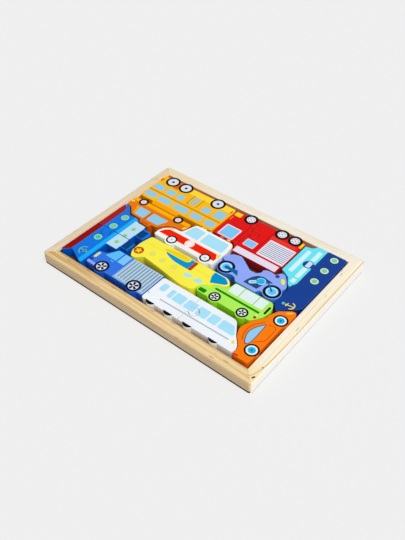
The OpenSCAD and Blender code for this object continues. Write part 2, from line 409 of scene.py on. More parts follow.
def back_rail_marks(finish, base, x, y, z):
    """Darker wood towards the left end."""
    return finish.blend(x.rise(-0.02, -0.11) * 0.75, base, srgb(228, 208, 166))


def board_finish(name, pale, dark):
    """Thin board of the tray's floor, grain along the tray, its dark brown a painted shade for the narrow
    gaps it shows through.
    """
    finish = Finish(name)
    wave = finish.noise(finish.stretched(5, 60, 60), 1.0, 3.0)
    fibre = finish.noise(finish.stretched(30, 1900, 1900), 1.0, 2.0, 0.6)
    base = finish.blend(wave.rise(0.3, 0.7) * 0.7 + fibre * 0.3, dark, pale)
    return finish.dress(base, 0.55 + fibre * 0.15, fibre, strength=0.25, depth=0.00015, shine=0.2)


# Flat lines and outlines as lists of x and y, all outlines anticlockwise

def arc(x, y, radius, first, sweep, steps):
    """Points on an arc that starts at the angle first, both ends included."""
    turns = [first + sweep * step / steps for step in range(steps + 1)]
    return [(x + radius * math.cos(turn), y + radius * math.sin(turn)) for turn in turns]


def rounded(corners, rounding=0.0):
    """Outline with rounded corners, each given as x, y and, where it differs from the rest, a rounding."""
    points = []
    count = len(corners)
    for index, (x, y, *own) in enumerate(corners):
        wanted = own[0] if own else rounding
        here = Vector((x, y))
        to_last = Vector(corners[index - 1][:2]) - here
        to_next = Vector(corners[(index + 1) % count][:2]) - here
        u = to_last.normalized()
        v = to_next.normalized()
        half = math.acos(max(-1.0, min(1.0, u.dot(v)))) / 2
        if wanted <= 0 or half > FLATTEST_HALF_CORNER:
            points.append((x, y))
            continue
        room = LONGEST_ROUNDED_SHARE * min(to_last.length, to_next.length)
        reach = min(wanted / math.tan(half), room)
        radius = reach * math.tan(half)
        middle = here + (u + v).normalized() * (radius / math.sin(half))
        start = here + u * reach - middle
        sweep = math.copysign(math.pi - 2 * half, -u.cross(v))
        steps = max(2, math.ceil(abs(sweep) / CORNER_STEP))
        points += arc(middle.x, middle.y, radius, math.atan2(start.y, start.x), sweep, steps)
    return points


def block(left, right, low, high, rounding):
    return rounded([(left, low), (right, low), (right, high), (left, high)], rounding)


def disc(x, y, radius, steps=DISC_SIDES):
    return arc(x, y, radius, 0, 2 * math.pi, steps)[:-1]


def oval(x, y, long, short, tilt):
    """An ellipse whose long half axis is turned by tilt degrees from +X."""
    way = Vector((math.cos(math.radians(tilt)), math.sin(math.radians(tilt))))
    side = Vector((-way.y, way.x))
    return [tuple(Vector((x, y)) + way * u * long + side * v * short) for u, v in disc(0, 0, 1)]


def star(x, y, outer, inner):
    """A star with five points, one of them towards +Y."""
    tips = arc(x, y, outer, math.pi / 2, 2 * math.pi, 5)
    notches = arc(x, y, inner, math.pi * 0.7, 2 * math.pi, 5)
    return [point for pair in zip(tips[:-1], notches[:-1]) for point in pair]


def lower_part(x, y, radius, ceiling, steps=24):
    """The part of a disc that lies below a level line."""
    half = math.acos((ceiling - y) / radius)
    return arc(x, y, radius, math.pi / 2 + half, 2 * math.pi - 2 * half, steps)


def flowing(points, steps=6):
    """A smooth line through the given points."""
    ends = [points[0]] + list(points) + [points[-1]]
    line = []
    for a, b, c, d in zip(ends, ends[1:], ends[2:], ends[3:]):
        for step in range(steps):
            t = step / steps
            line.append(tuple(
                0.5 * (2 * q + (r - p) * t + (2 * p - 5 * q + 4 * r - s) * t ** 2
                       + (3 * q - p - 3 * r + s) * t ** 3)
                for p, q, r, s in zip(a, b, c, d)
            ))
    return line + [tuple(points[-1])]


def stroke(points, width):
    """Outline of a pen line with round ends."""
    line = [Vector(point) for point in points]
    left = []
    right = []
    for index, here in enumerate(line):
        back = (here - line[index - 1]).normalized() if index else None
        ahead = (line[index + 1] - here).normalized() if index + 1 < len(line) else None
        way = ((back or ahead) + (ahead or back)).normalized()
        reach = width / 2 / max(STROKE_LIMIT, way.dot(ahead or back))
        side = Vector((-way.y, way.x)) * reach
        left.append(here + side)
        right.append(here - side)
    outline = []
    for centre, start, side in ((line[-1], right[-1], right), (line[0], left[0], left[::-1])):
        outline += [tuple(point) for point in side]
        arm = start - centre
        first = math.atan2(arm.y, arm.x)
        outline += arc(centre.x, centre.y, arm.length, first, math.pi, STROKE_END_STEPS)[1:-1]
    return outline


def inset(points, distance):
    """Outline moved inwards on all sides."""
    moved = []
    count = len(points)
    for index, point in enumerate(points):
        here = Vector(point)
        u = (here - Vector(points[index - 1])).normalized()
        v = (Vector(points[(index + 1) % count]) - here).normalized()
        m = Vector((-u.y, u.x))
        n = Vector((-v.y, v.x))
        moved.append(tuple(here + (m + n) * (distance / max(INSET_LIMIT, 1 + m.dot(n)))))
    return moved


def top_outline(node):
    """Outline of a puzzle piece seen from above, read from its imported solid, in millimetres."""
    mesh = frame["nodes"][node].data
    top = max(vertex.co.z for vertex in mesh.vertices)
    edges = set()
    for face in mesh.polygons:
        spots = [mesh.vertices[index].co for index in face.vertices]
        if min(spot.z for spot in spots) > top - 1e-6:
            flat = [(round(spot.x / MM, 3), round(spot.y / MM, 3)) for spot in spots]
            edges.update(zip(flat, flat[1:] + flat[:1]))
    follow = {a: b for a, b in edges if (b, a) not in edges}
    start = min(follow)
    outline = [start]
    while follow[outline[-1]] != start:
        outline.append(follow[outline[-1]])
    before = outline[-1:] + outline[:-1]
    return [point for point, last in zip(outline, before) if math.dist(point, last) > SHORTEST_EDGE]


# Meshes

def body_mesh(name, outline, finish):
    """A sawn board with its upper and lower edges sanded round."""
    quarter = math.pi / 2
    low_middle, top_middle = PIECE_LOW + LOW_ROUND, PIECE_TOP - TOP_ROUND
    rings = arc(LOW_ROUND, low_middle, LOW_ROUND, 3 * quarter, -quarter, LOW_ROUND_STEPS)
    rings += arc(TOP_ROUND, top_middle, TOP_ROUND, 2 * quarter, -quarter, TOP_ROUND_STEPS)
    mesh = bmesh.new()
    loops = []
    for depth, height in rings:
        points = inset(outline, depth) if depth else outline
        loops.append([mesh.verts.new((x * MM, y * MM, height * MM)) for x, y in points])
    count = len(outline)
    for low, high in zip(loops, loops[1:]):
        for index in range(count):
            after = (index + 1) % count
            mesh.faces.new((low[index], low[after], high[after], high[index]))
    caps = [mesh.faces.new(loops[-1]), mesh.faces.new(loops[0][::-1])]
    mesh.normal_update()
    for face in mesh.faces:
        face.smooth = True
    for edge in mesh.edges:
        sharp = edge.calc_face_angle(0.0) > SHARP_ANGLE
        edge.smooth = not (sharp or any(face in caps for face in edge.link_faces))
    bmesh.ops.triangulate(mesh, faces=caps)
    return finished_mesh(mesh, name, [finish])


def finished_mesh(mesh, name, finishes):
    made = bpy.data.meshes.new(name)
    mesh.to_mesh(made)
    mesh.free()
    for finish in finishes:
        made.materials.append(finish)
    return made


def add_plate(mesh, outline, limit, level, slot):
    """One printed shape as a thin closed film, cut to the flat top of its piece."""
    points = [Vector(point) for point in limit] + [Vector(point) for point in outline]
    faces = [list(range(len(limit))), list(range(len(limit), len(points)))]
    inside, tolerance = 1, 1e-5
    spots, _, cells, _, _, owners = delaunay_2d_cdt(points, [], faces, inside, tolerance, True)
    kept = [cell for cell, owner in zip(cells, owners) if 0 in owner and 1 in owner]
    used = sorted({index for cell in kept for index in cell})
    sides = {}
    for height in (PIECE_TOP - INK_SINK, PIECE_TOP + INK_LIFT * level):
        sides[height] = {i: mesh.verts.new((spots[i].x * MM, spots[i].y * MM, height * MM)) for i in used}
    low, high = sides.values()
    edges = set()
    made = []
    for cell in kept:
        made.append(mesh.faces.new([high[i] for i in cell]))
        made.append(mesh.faces.new([low[i] for i in reversed(cell)]))
        edges.update(zip(cell, cell[1:] + cell[:1]))
    for a, b in edges:
        if (b, a) not in edges:
            made.append(mesh.faces.new((low[a], low[b], high[b], high[a])))
    for face in made:
        face.material_index = slot


def joined(name, meshes):
    """Several meshes as one, each face with its own finish."""
    whole = bmesh.new()
    finishes = []
    for mesh in meshes:
        for finish in mesh.materials:
            if finish not in finishes:
                finishes.append(finish)
        before = len(whole.faces)
        whole.from_mesh(mesh)
        whole.faces.ensure_lookup_table()
        for face in whole.faces[before:]:
            face.material_index = finishes.index(mesh.materials[face.material_index])
        bpy.data.meshes.remove(mesh)
    return finished_mesh(whole, name, finishes)


# Trees for what repeats

SIZE = "NodeSocketFloat"
NUMBER = "NodeSocketInt"
INK = "NodeSocketMaterial"
STEP = "NodeSocketVector"
SOCKET_KINDS = {"Count": NUMBER, "Degrees": NUMBER, "Level": NUMBER, "Step": STEP, "Ink": INK}
LAYERS = ("Outer", "Middle", "Inner")


def new_tree(name, *labels):
    """An empty tree with named inputs, sizes unless their last word says otherwise."""
    tree = bpy.data.node_groups.new(name, "GeometryNodeTree")
    tree.interface.new_socket("Geometry", in_out="INPUT", socket_type="NodeSocketGeometry")
    for label in labels + ("Lift", "Sink"):
        kind = SOCKET_KINDS.get(label.split()[-1], SIZE)
        tree.interface.new_socket(label, in_out="INPUT", socket_type=kind)
    tree.interface.new_socket("Geometry", in_out="OUTPUT", socket_type="NodeSocketGeometry")
    bench = Bench(tree)
    return bench, bench.add("NodeGroupInput")


def closed(bench, whole):
    bench.add("NodeGroupOutput", {"Geometry": whole})
    return bench.tree


def film(bench, flat, lift, sink):
    """Gives a flat shape the thickness of a film of ink, closed below."""
    down = bench.add("ShaderNodeCombineXYZ", {"Z": 0.0 - sink})
    low = bench.add("GeometryNodeTransform", {"Geometry": flat, "Translation": down})
    inputs = {"Mesh": low, "Offset Scale": lift + sink, "Individual": False}
    walls = bench.add("GeometryNodeExtrudeMesh", inputs)
    under = bench.add("GeometryNodeFlipFaces", {"Mesh": low})
    whole = bench.add("GeometryNodeJoinGeometry", {"Geometry": [walls, under]})
    return bench.add("GeometryNodeMergeByDistance", {"Geometry": whole, "Distance": 1e-7})


def round_film(bench, radius, lift, sink):
    flat = bench.add("GeometryNodeMeshCircle", {"Vertices": WHEEL_SIDES, "Radius": radius}, fill_type="NGON")
    return film(bench, flat, lift, sink)


def bar_film(bench, sizes, mode, **sides):
    """A bar with four rounded corners, as a film of ink."""
    curve = bench.add("GeometryNodeCurvePrimitiveQuadrilateral", sides, mode=mode)
    corners = {"Count": BAR_CORNER_POINTS, "Radius": sizes["Rounding"], "Limit Radius": True}
    soft = bench.add("GeometryNodeFilletCurve", {"Curve": curve, **corners}, mode="POLY")
    flat = bench.add("GeometryNodeFillCurve", {"Curve": soft}, mode="NGONS")
    return film(bench, flat, sizes["Lift"], sizes["Sink"])


def copies(bench, points, shape, **turn):
    return bench.add("GeometryNodeInstanceOnPoints", {"Points": points, "Instance": shape, **turn})


def printed(bench, points, shape, ink, **turn):
    """Copies of one shape on points, made real and inked."""
    real = bench.add("GeometryNodeRealizeInstances", {"Geometry": copies(bench, points, shape, **turn)})
    return bench.add("GeometryNodeSetMaterial", {"Geometry": real, "Material": ink})


def target_tree():
    """Three stacked discs on every point: tyre, rim and hub of a wheel, or the rings of a porthole."""
    labels = [f"{layer} {label}" for label in ("Radius", "Ink") for layer in LAYERS]
    bench, sizes = new_tree("wheel_print", *labels, "Level")
    discs = []
    for order, layer in enumerate(LAYERS):
        lift = (sizes["Level"] + order) * sizes["Lift"]
        shape = round_film(bench, sizes[f"{layer} Radius"], lift, sizes["Sink"])
        discs.append(printed(bench, sizes["Geometry"], shape, sizes[f"{layer} Ink"]))
    return closed(bench, bench.add("GeometryNodeJoinGeometry", {"Geometry": discs}))


def turned(bench, angle):
    """A turn about the upright axis."""
    euler = bench.add("ShaderNodeCombineXYZ", {"Z": angle})
    return bench.add("FunctionNodeEulerToRotation", {"Euler": euler})


def around(bench, sizes, shape):
    """Copies of one shape set in a circle round every point, each turned outwards."""
    count = sizes["Count"]
    circle = bench.add("GeometryNodeMeshCircle", {"Vertices": count, "Radius": sizes["Circle Radius"]})
    outwards = turned(bench, bench.add("GeometryNodeInputIndex") * (2 * math.pi) / count - math.pi / 2)
    ring = copies(bench, circle, shape, Rotation=outwards)
    start = turned(bench, sizes["Degrees"] * (math.pi / 180))
    return closed(bench, printed(bench, sizes["Geometry"], ring, sizes["Ink"], Rotation=start))


def spoke_tree():
    """Dark bars round the hub of a wheel, wider at the rim."""
    labels = ("Count", "Degrees", "Circle Radius", "Inner Width", "Outer Width", "Length", "Rounding", "Ink")
    bench, sizes = new_tree("spoke_print", *labels)
    sides = {"Bottom Width": sizes["Inner Width"], "Top Width": sizes["Outer Width"]}
    shape = bar_film(bench, sizes, "TRAPEZOID", **sides, Height=sizes["Length"], Offset=0.0)
    return around(bench, sizes, shape)


def bolt_tree():
    """Round bolt heads in a circle round the hub of a wheel."""
    bench, sizes = new_tree("bolt_print", "Count", "Degrees", "Circle Radius", "Bolt Radius", "Ink")
    return around(bench, sizes, round_film(bench, sizes["Bolt Radius"], sizes["Lift"], sizes["Sink"]))


def slat_tree():
    """A row of equal bars from each point on, for a slatted bed or a shutter."""
    bench, sizes = new_tree("slat_print", "Count", "Step", "Width", "Height", "Rounding", "Ink")
    shape = bar_film(bench, sizes, "RECTANGLE", Width=sizes["Width"], Height=sizes["Height"])
    places = {"Count": sizes["Count"], "Offset": sizes["Step"]}
    line = bench.add("GeometryNodeMeshLine", places, mode="OFFSET")
    return closed(bench, printed(bench, sizes["Geometry"], copies(bench, line, shape), sizes["Ink"]))


def grown(tree, spots, values):
    """The plain mesh that a tree makes on the given points of the pieces' top, sizes in millimetres."""
    seed = bpy.data.meshes.new("spots")
    seed.from_pydata([(x * MM, y * MM, PIECE_TOP * MM) for x, y in spots], [], [])
    carrier = new_object(seed)
    modifier = carrier.modifiers.new("print", "NODES")
    modifier.node_group = tree
    for item in tree.interface.items_tree:
        if item.item_type == "SOCKET" and item.in_out == "INPUT" and item.name in values:
            value = values[item.name]
            if item.socket_type == SIZE:
                value = value * MM
            elif item.socket_type == STEP:
                value = [part * MM for part in value]
            modifier[item.identifier] = value
    ready = carrier.evaluated_get(bpy.context.evaluated_depsgraph_get())
    mesh = bpy.data.meshes.new_from_object(ready)
    bpy.data.objects.remove(carrier)
    bpy.data.meshes.remove(seed)
    return mesh


# Colours of the paints and the printing inks

paint_colours = dict(
    amber_paint=(250, 186, 8), orange_paint=(231, 119, 0), white_paint=(246, 245, 241),
    pearl_paint=(240, 246, 251), yellow_paint=(251, 240, 72), periwinkle_paint=(142, 168, 248),
    lime_paint=(174, 240, 90), blue_paint=(46, 114, 228), car_orange_paint=(252, 124, 0),
    red_paint=(225, 9, 4), ship_blue_paint=(0, 115, 224), cyan_paint=(108, 228, 245),
    navy_paint=(14, 61, 146),
)

# Sawn sides of some paints, lighter or darker than the top as painted light and shade
side_light_shade_colours = dict(
    red_paint=(172, 30, 40), car_orange_paint=(238, 112, 0), orange_paint=(212, 96, 0),
    periwinkle_paint=(56, 128, 236), lime_paint=(154, 231, 26), white_paint=(252, 252, 252),
    yellow_paint=(255, 246, 60),
)

ink_colours = dict(
    black=(10, 9, 11), umber=(34, 12, 8), midnight=(4, 18, 50), silver=(220, 224, 236),
    chrome=(236, 235, 246), rose_grey=(230, 216, 221), ice=(230, 241, 245), slate=(128, 138, 150),
    graphite=(62, 66, 78), honey=(255, 214, 52), rust=(222, 106, 12), tangerine=(250, 162, 0),
    ochre=(210, 136, 16), brown=(176, 106, 18), sky_glass=(146, 202, 228), blue_glass=(124, 198, 246),
    pale_glass=(168, 225, 249), grey_glass=(156, 192, 198), mint_glass=(225, 243, 241),
    plane_glass=(176, 230, 232), apricot=(254, 174, 0), sienna=(176, 92, 36), sign_orange=(206, 96, 14),
    lemon=(246, 222, 84), signal_red=(242, 34, 0), petal_white=(252, 238, 234), steel_blue=(72, 96, 118),
    sunflower=(246, 210, 14), ocean=(0, 148, 206), brick=(192, 56, 22), copper=(186, 74, 6),
    gold=(255, 209, 48), butter=(240, 224, 52), pistachio=(216, 229, 158), olive_light=(226, 221, 104),
    teal_navy=(36, 72, 118), cerulean=(28, 182, 232), cobalt=(8, 100, 164), powder=(150, 196, 238),
    frost=(178, 228, 252), sky_disc=(92, 196, 250), acid=(232, 237, 86), marker_yellow=(228, 240, 20),
    forest=(16, 132, 0), bottle=(14, 40, 6), chestnut=(140, 62, 6), lamp_lime=(206, 226, 150),
    plum=(44, 42, 104), lilac=(150, 166, 240), bed_pale=(182, 208, 230), bed_grey=(116, 146, 168),
    bed_frame=(140, 178, 226), cab_glass=(92, 190, 246), seam_orange=(192, 72, 4), window_rim=(96, 92, 98),
    car_glass=(146, 204, 243), car_haze=(178, 192, 236), moss=(146, 186, 104), lamp_amber=(255, 190, 48),
    lamp_red=(204, 46, 6), wine=(166, 10, 16), blush=(248, 212, 222), shutter_pale=(238, 238, 248),
    shutter_line=(118, 128, 158), ladder=(224, 224, 240), coral=(226, 104, 66), violet=(74, 54, 112),
    lamp_yellow=(250, 206, 34), fire_light=(232, 58, 48), rail_grey=(170, 174, 184), keel_red=(162, 30, 30),
    keel_dark=(142, 8, 8), aqua=(22, 172, 243), deck_white=(188, 222, 244), leaf=(136, 198, 142),
    leaf_pale=(176, 224, 188), funnel_navy=(0, 62, 119), port_green=(146, 226, 160),
    port_teal=(82, 186, 164), anchor_green=(112, 184, 148), port_lime=(206, 240, 184),
    port_sage=(134, 198, 164), cabin_white=(208, 245, 254), knob_white=(206, 222, 250),
    anchor_yellow=(232, 226, 84), anchor_ring=(96, 190, 206),
)


# Printed shapes, each an ink, a level in the stack and an outline

def row(ink, level, spans, low, high, rounding):
    return [(ink, level, block(left, right, low, high, rounding)) for left, right in spans]


prints = {}

low_panes = [(-133.6, -115.6), (-111.4, -90.6), (-86, -63.2), (-58.4, -41), (-35.8, -21)]
high_panes = [(-133.6, -117), (-112.6, -99), (-95, -84.6), (-54.4, -41)]
prints["bus"] = [
    ("honey", 1, block(-86, -18.8, 79.4, 89.6, 1)),
    # Dark orange between the first two wheels: partly print, partly painted shade between them
    ("rust", 1, block(-112, -104, 75.6, 89.4, 1)),
    ("tangerine", 1, block(-111.6, -71.4, 34.8, 40.8, 0.8)),
    ("ochre", 1, block(-134.8, -18.8, 56, 58.2, 0.4)),
    ("brown", 2, stroke([(-76.8, 80.6), (-76.8, 62.4), (-73, 62)], 0.9)),
    ("brown", 2, stroke([(-61.8, 80.6), (-61.8, 62)], 0.9)),
    ("grey_glass", 2, block(-74.2, -70.5, 63.4, 79.4, 1.4)),
    ("grey_glass", 2, block(-69.3, -65.6, 63.4, 79.4, 1.4)),
    ("sky_glass", 1, block(-35.6, -21.4, 61.2, 76.4, 2.2)),
    ("lamp_red", 1, block(-134.9, -132.6, 77.6, 84.4, 0.8)),
    ("brown", 2, block(-21.8, -19.8, 79.8, 85.6, 0.8)),
    *row("sky_glass", 1, low_panes, 43.6, 53.6, 2.8),
    *row("sky_glass", 1, high_panes, 61, 71.2, 2.8),
]

prints["taxi"] = [
    ("apricot", 1, block(-134.8, -44, 26.4, 32.2, 0.8)),
    ("ochre", 2, stroke([(-112, 25.8), (-71, 25.8)], 1)),
    ("sky_glass", 1, rounded([(-113.4, 6), (-99, 6), (-99, 20.6), (-117.6, 20.6)], 1.6)),
    ("sky_glass", 1, rounded([(-94.4, 6.4), (-76, 6.4), (-69.8, 20.6), (-94.4, 20.6)], 1.6)),
    ("apricot", 1, rounded([(-116, 6.4), (-114.6, 6.4), (-118.8, 20.6), (-121.4, 20.6)], 0.6)),
    ("sienna", 1, stroke([(-96.7, 20.4), (-96.7, 4.2)], 1.8)),
    ("sign_orange", 1, block(-97, -85, -1.8, 2.6, 0.8)),
    ("lemon", 2, rounded([(-49.4, 20.4), (-46, 19.8), (-44.6, 25), (-46.6, 25.8)], 1)),
    ("lemon", 2, rounded([(-134.6, 21.6), (-129.6, 23.2), (-130.6, 25.6), (-134.6, 25)], 0.8)),
]

prints["ambulance"] = [
    ("signal_red", 1, rounded([(-67, -0.6, 0.6), (16.6, -0.6, 0.8), (16.6, 4.2), (14.6, 7.2, 1.5),
                               (13, 10.6), (-58.4, 10.6, 4), (-63.6, 6.6, 4)], 1)),
    ("petal_white", 2, disc(-23.6, 5, 6)),
    ("blush", 3, disc(-23.6, 5, 4.4)),
    ("petal_white", 4, disc(-23.6, 5, 3.6)),
    ("pale_glass", 1, rounded([(-41.4, 15.4, 1.6), (-21, 15.4), (-21, 32.8), (-37.8, 32.8, 2)], 1.4)),
    ("pale_glass", 1, rounded([(-17.2, 15.4), (15.4, 15.4), (15.2, 24, 12), (13.8, 32.8, 3),
                               (-17.2, 32.8)], 1.4)),
    ("lamp_amber", 1, rounded([(-63.8, 10.4, 0.6), (-58.4, 12.4), (-54.6, 13.2, 0.8), (-56.4, 15),
                               (-61, 13.6, 2)], 1)),
    ("lemon", 2, rounded([(16.9, 4.6, 0.6), (18.4, 5.4, 0.6), (17.8, 12.6), (14, 12, 0.8), (15.2, 7.4)], 1)),
    ("lemon", 1, block(-30.2, -24.2, 36.4, 38.2, 0.5)),
    ("steel_blue", 1, block(-23.6, -17.9, 36.4, 38.2, 0.5)),
]

wing_blue = flowing([(-35.6, -21.8), (-33.2, -24.2), (-27, -26.8), (-18, -28.8), (-8, -29.4), (2, -29.4)])
wing_blue += [(2, -14.4), (-4.6, -14.4)]
wing_blue += flowing([(-3, -16), (-3.4, -18.8), (-6, -21), (-12, -22)]) + [(-30, -22)]
wing_yellow = flowing([(-41.6, -20.2), (-36, -17.2), (-30, -15.2), (-22, -14.2), (-12, -14), (-7, -14.6),
                       (-4.4, -16.4), (-4.8, -18.6), (-7.6, -20.6), (-13, -21.2), (-30, -21.2),
                       (-38, -20.8)])[::-1]
cockpit = [(29.6, -13.8, 1.4), (30.4, -21, 8), (34.9, -30.4, 1), (50.8, -22.6, 2.4), (52.2, -19.2, 3),
           (45, -14, 8)]
cockpit_rim = [(x + (0.7 if x > 40 else 0), y + (0.7 if y > -20 else 0), r) for x, y, r in cockpit]

prints["plane"] = [
    ("butter", 1, stroke([(-66, -23.8), (-37.6, -23.8)], 0.9)),
    ("butter", 1, stroke([(8, -23.6), (29.4, -23.6)], 0.9)),
    ("copper", 1, disc(-62.4, -40.4, 6.1)),
    ("gold", 2, star(-62.4, -40.6, 4.9, 2.4)),
    ("sunflower", 1, wing_yellow),
    ("ocean", 1, wing_blue),
    ("brick", 2, block(2, 6.4, -29.4, -14.4, 1)),
    ("ice", 1, rounded(cockpit_rim)),
    ("ocean", 2, rounded(cockpit)),
    ("plane_glass", 1, rounded([(2.8, -37.4, 2.5), (5.4, -40.2), (12.4, -39.6), (14.4, -35), (12.6, -33.6),
                                (5.4, -33.6, 2.5)], 2)),
    ("plane_glass", 1, rounded([(17.4, -37.4, 2.5), (19.4, -40.2), (26.6, -39.4), (28.9, -34.2),
                                (26.6, -32.4), (20.2, -32.9, 2.5)], 2)),
]

prints["motorcycle"] = [
    ("cobalt", 4, rounded([(31.8, -1, 1.4), (43, -1.2), (52.4, -3, 0.4), (47.6, 4.4, 0.8), (44, 3.6, 1),
                           (31.8, 3.4, 1.4)])),
    ("teal_navy", 1, rounded([(62.6, -6, 0.8), (80.6, -6, 0.8), (82, 1, 2), (84.2, 8.2, 2),
                              (90.8, 12.2, 0.6), (76.6, 14.2, 3), (70.4, 12, 5), (66.4, 7), (64, 0.6)], 6)),
    ("frost", 2, stroke([(69.4, -1), (76.4, 5.2)], 5.2)),
    ("frost", 2, disc(78, 6.6, 5.4)),
    ("powder", 3, stroke([(69.6, -1), (75, 3.8)], 2.4)),
    ("cerulean", 4, disc(77.8, 6.6, 4.4)),
    ("cobalt", 5, stroke([(84.6, 10.1), (90.2, 5.8), (95.8, 1.2)], 1.9)),
    ("acid", 1, oval(97.2, 21, 4.6, 2.2, -52)),
    ("teal_navy", 1, rounded([(85.2, 22.4, 0.6), (88.6, 21.7), (90.4, 23.8), (88.9, 27, 1),
                              (85.6, 25.8)], 0.8)),
]

prints["minibus"] = [
    ("forest", 1, stroke([(46.6, -33.2), (102.4, -33.2)], 2.9)),
    ("forest", 1, rounded([(31.2, -46.9), (40.4, -46.8, 1.8), (40.6, -41.1), (31, -41.5)], 1.6)),
    ("marker_yellow", 1, disc(38.6, -34.4, 2.3)),
    ("bottle", 1, stroke([(108.4, -30), (108.4, -20.2)], 2.6)),
    ("acid", 1, disc(103.4, -37.6, 1.5)),
    ("chestnut", 2, disc(103.4, -40.9, 1.8)),
    *row("mint_glass", 1, [(58.4, 71.4), (72.4, 90.8), (91.8, 103.2)], -28, -13.6, 0.8),
    *row("moss", 2, [(71.5, 72.3), (90.9, 91.7)], -27.8, -13.4, 0),
]

prints["pickup"] = [
    ("cab_glass", 1, rounded([(-86.8, -70.4, 1), (-70.4, -70.4), (-70.4, -55.2), (-79.2, -55.2, 1.5)], 0.8)),
    ("blue_glass", 1, block(-68.2, -58.2, -70.4, -55.2, 0.8)),
    ("bed_frame", 1, block(-56, -10.2, -91, -54.5, 0.6)),
    ("bed_pale", 2, block(-54.2, -11.2, -88.6, -54.8, 0.6)),
    ("lamp_lime", 1, block(-96.4, -92.8, -80.6, -70.6, 1.6)),
    ("plum", 1, block(-97.2, -93, -86, -82.8, 1)),
    ("lilac", 1, rounded([(-96.8, -90.6, 1.4), (-84, -90.6, 0.5), (-84, -87.4, 0.5), (-97.4, -87, 0.8)])),
    ("sky_disc", 1, stroke([(-75.6, -73), (-71.6, -73.4)], 1.1)),
]

car_window = flowing([(118.6, -41), (114.4, -46.6), (110.6, -54.4), (109.6, -61), (111.2, -68.4),
                      (115.4, -76.2)])
car_window += flowing([(118.4, -75.2), (120.2, -70.6), (120.4, -60), (119.8, -48), (119.4, -41.4)])
car_pane = flowing([(118.4, -43), (115, -47.6), (111.6, -54.8), (110.6, -61), (112.2, -68), (115.6, -74.4)])
car_pane += flowing([(117.8, -74.2), (119.3, -70), (119.5, -60), (118.9, -48), (118.7, -43.2)])
door_seam = flowing([(121.2, -40.4), (127.6, -39.2), (130.2, -42), (130.6, -52), (129.8, -60.6),
                     (124.6, -66), (121.4, -69)])
roof_seam = flowing([(115.6, -40), (109.4, -48.6), (107, -54.6), (106.8, -60.8), (108, -66.6), (110.6, -73)])
prints["car"] = [
    ("window_rim", 1, car_window),
    ("car_glass", 2, car_pane),
    ("car_haze", 3, rounded([(115.6, -74.2, 0.6), (117.8, -74.2, 0.6), (119.2, -71, 0.6), (119.4, -67.2),
                             (117.4, -68.4), (113.4, -70.4)])),
    ("seam_orange", 1, stroke(door_seam, 0.7)),
    ("seam_orange", 1, stroke(roof_seam, 0.8)),
    ("lamp_amber", 1, rounded([(125, -15.4, 1), (127.6, -16.4), (133, -12), (132.2, -10, 1),
                               (128.2, -12, 3)], 1.5)),
    ("lamp_red", 1, rounded([(114.6, -93.4, 0.6), (116.2, -93.9), (120.6, -93.2), (119.8, -91.4),
                             (115, -91.9)], 0.8)),
]

prints["fire_truck_cab"] = prints["fire_truck_body"] = [
    ("blush", 1, block(-11.4, 10.9, 41, 62.8, 2)),
    ("blue_glass", 2, block(-9.6, 9.1, 42.6, 61, 1.2)),
    ("lamp_yellow", 1, block(-15.6, -6.2, 80.8, 88.2, 1)),
    ("coral", 1, block(-15.6, -13.4, 70.6, 78.4, 1)),
    ("coral", 1, block(-3.6, 0.8, 37.4, 39.8, 0.5)),
    ("violet", 1, block(1.4, 5.6, 37.4, 39.8, 0.5)),
    ("lemon", 1, block(6.2, 10.6, 37.4, 39.8, 0.5)),
    ("wine", 1, stroke([(14.6, 43), (14.6, 74.6), (11, 78.6)], 0.9)),
    ("wine", 1, stroke([(-2.6, 64.4), (8.6, 64.4)], 1.2)),
    ("blush", 1, block(24, 39.2, 43.6, 56, 1.2)),
    ("blue_glass", 2, block(25, 38.2, 44.6, 55, 0.8)),
    ("blush", 1, block(46.4, 82.4, 40.4, 70.8, 1)),
    ("shutter_pale", 2, block(47.8, 81.2, 41.8, 69.4, 0.4)),
    ("wine", 1, block(21.4, 82.6, 38.3, 39.7, 0.3)),
    ("blush", 1, block(21.8, 80.9, 27.9, 37.8, 0.8)),
    ("ladder", 2, block(23.4, 79.4, 29.4, 36.4, 0.6)),
    ("wine", 1, stroke([(42.6, 42), (42.6, 88)], 0.9)),
    ("fire_light", 1, block(44.6, 78.8, 72.2, 77.6, 0.8)),
    ("lamp_yellow", 1, block(79.4, 82.8, 79, 88.6, 0.8)),
]

train_panes = [(18.4, 32.4), (34.6, 48.4), (50.6, 64.6), (66.6, 78.2)]
train_wheels = [(3.2, -89.8), (28.5, -89.8), (54.6, -89.6), (88.4, -89.2)]
prints["train_rear"] = prints["train_front"] = [
    ("pale_glass", 1, block(-2.6, 5.6, -73.2, -61.4, 3)),
    ("pale_glass", 1, rounded([(10.8, -63.6), (10.8, -76.2, 4.5), (16.8, -76.2), (16.8, -63.6)], 1.2)),
    ("pale_glass", 1, rounded([(80.6, -63.6, 1.4), (80.6, -76, 1.4), (100.4, -76), (101.6, -73),
                               (94.8, -63.6, 3)], 2)),
    ("rail_grey", 1, stroke([(9.6, -83.4), (100, -81.8)], 1.4)),
    ("rail_grey", 1, stroke([(-8.4, -82.8), (-6.4, -83.4)], 1.1)),
    ("lemon", 1, rounded([(103.9, -81.6), (105.4, -83.9), (107.8, -84), (108.2, -81.9), (106.4, -79.5),
                          (104.2, -79.5)], 1.2)),
    *row("pale_glass", 1, train_panes, -76.2, -63.6, 1.4),
    *[("black", 1, lower_part(x, y, 6.8, -92.2)) for x, y in train_wheels],
]

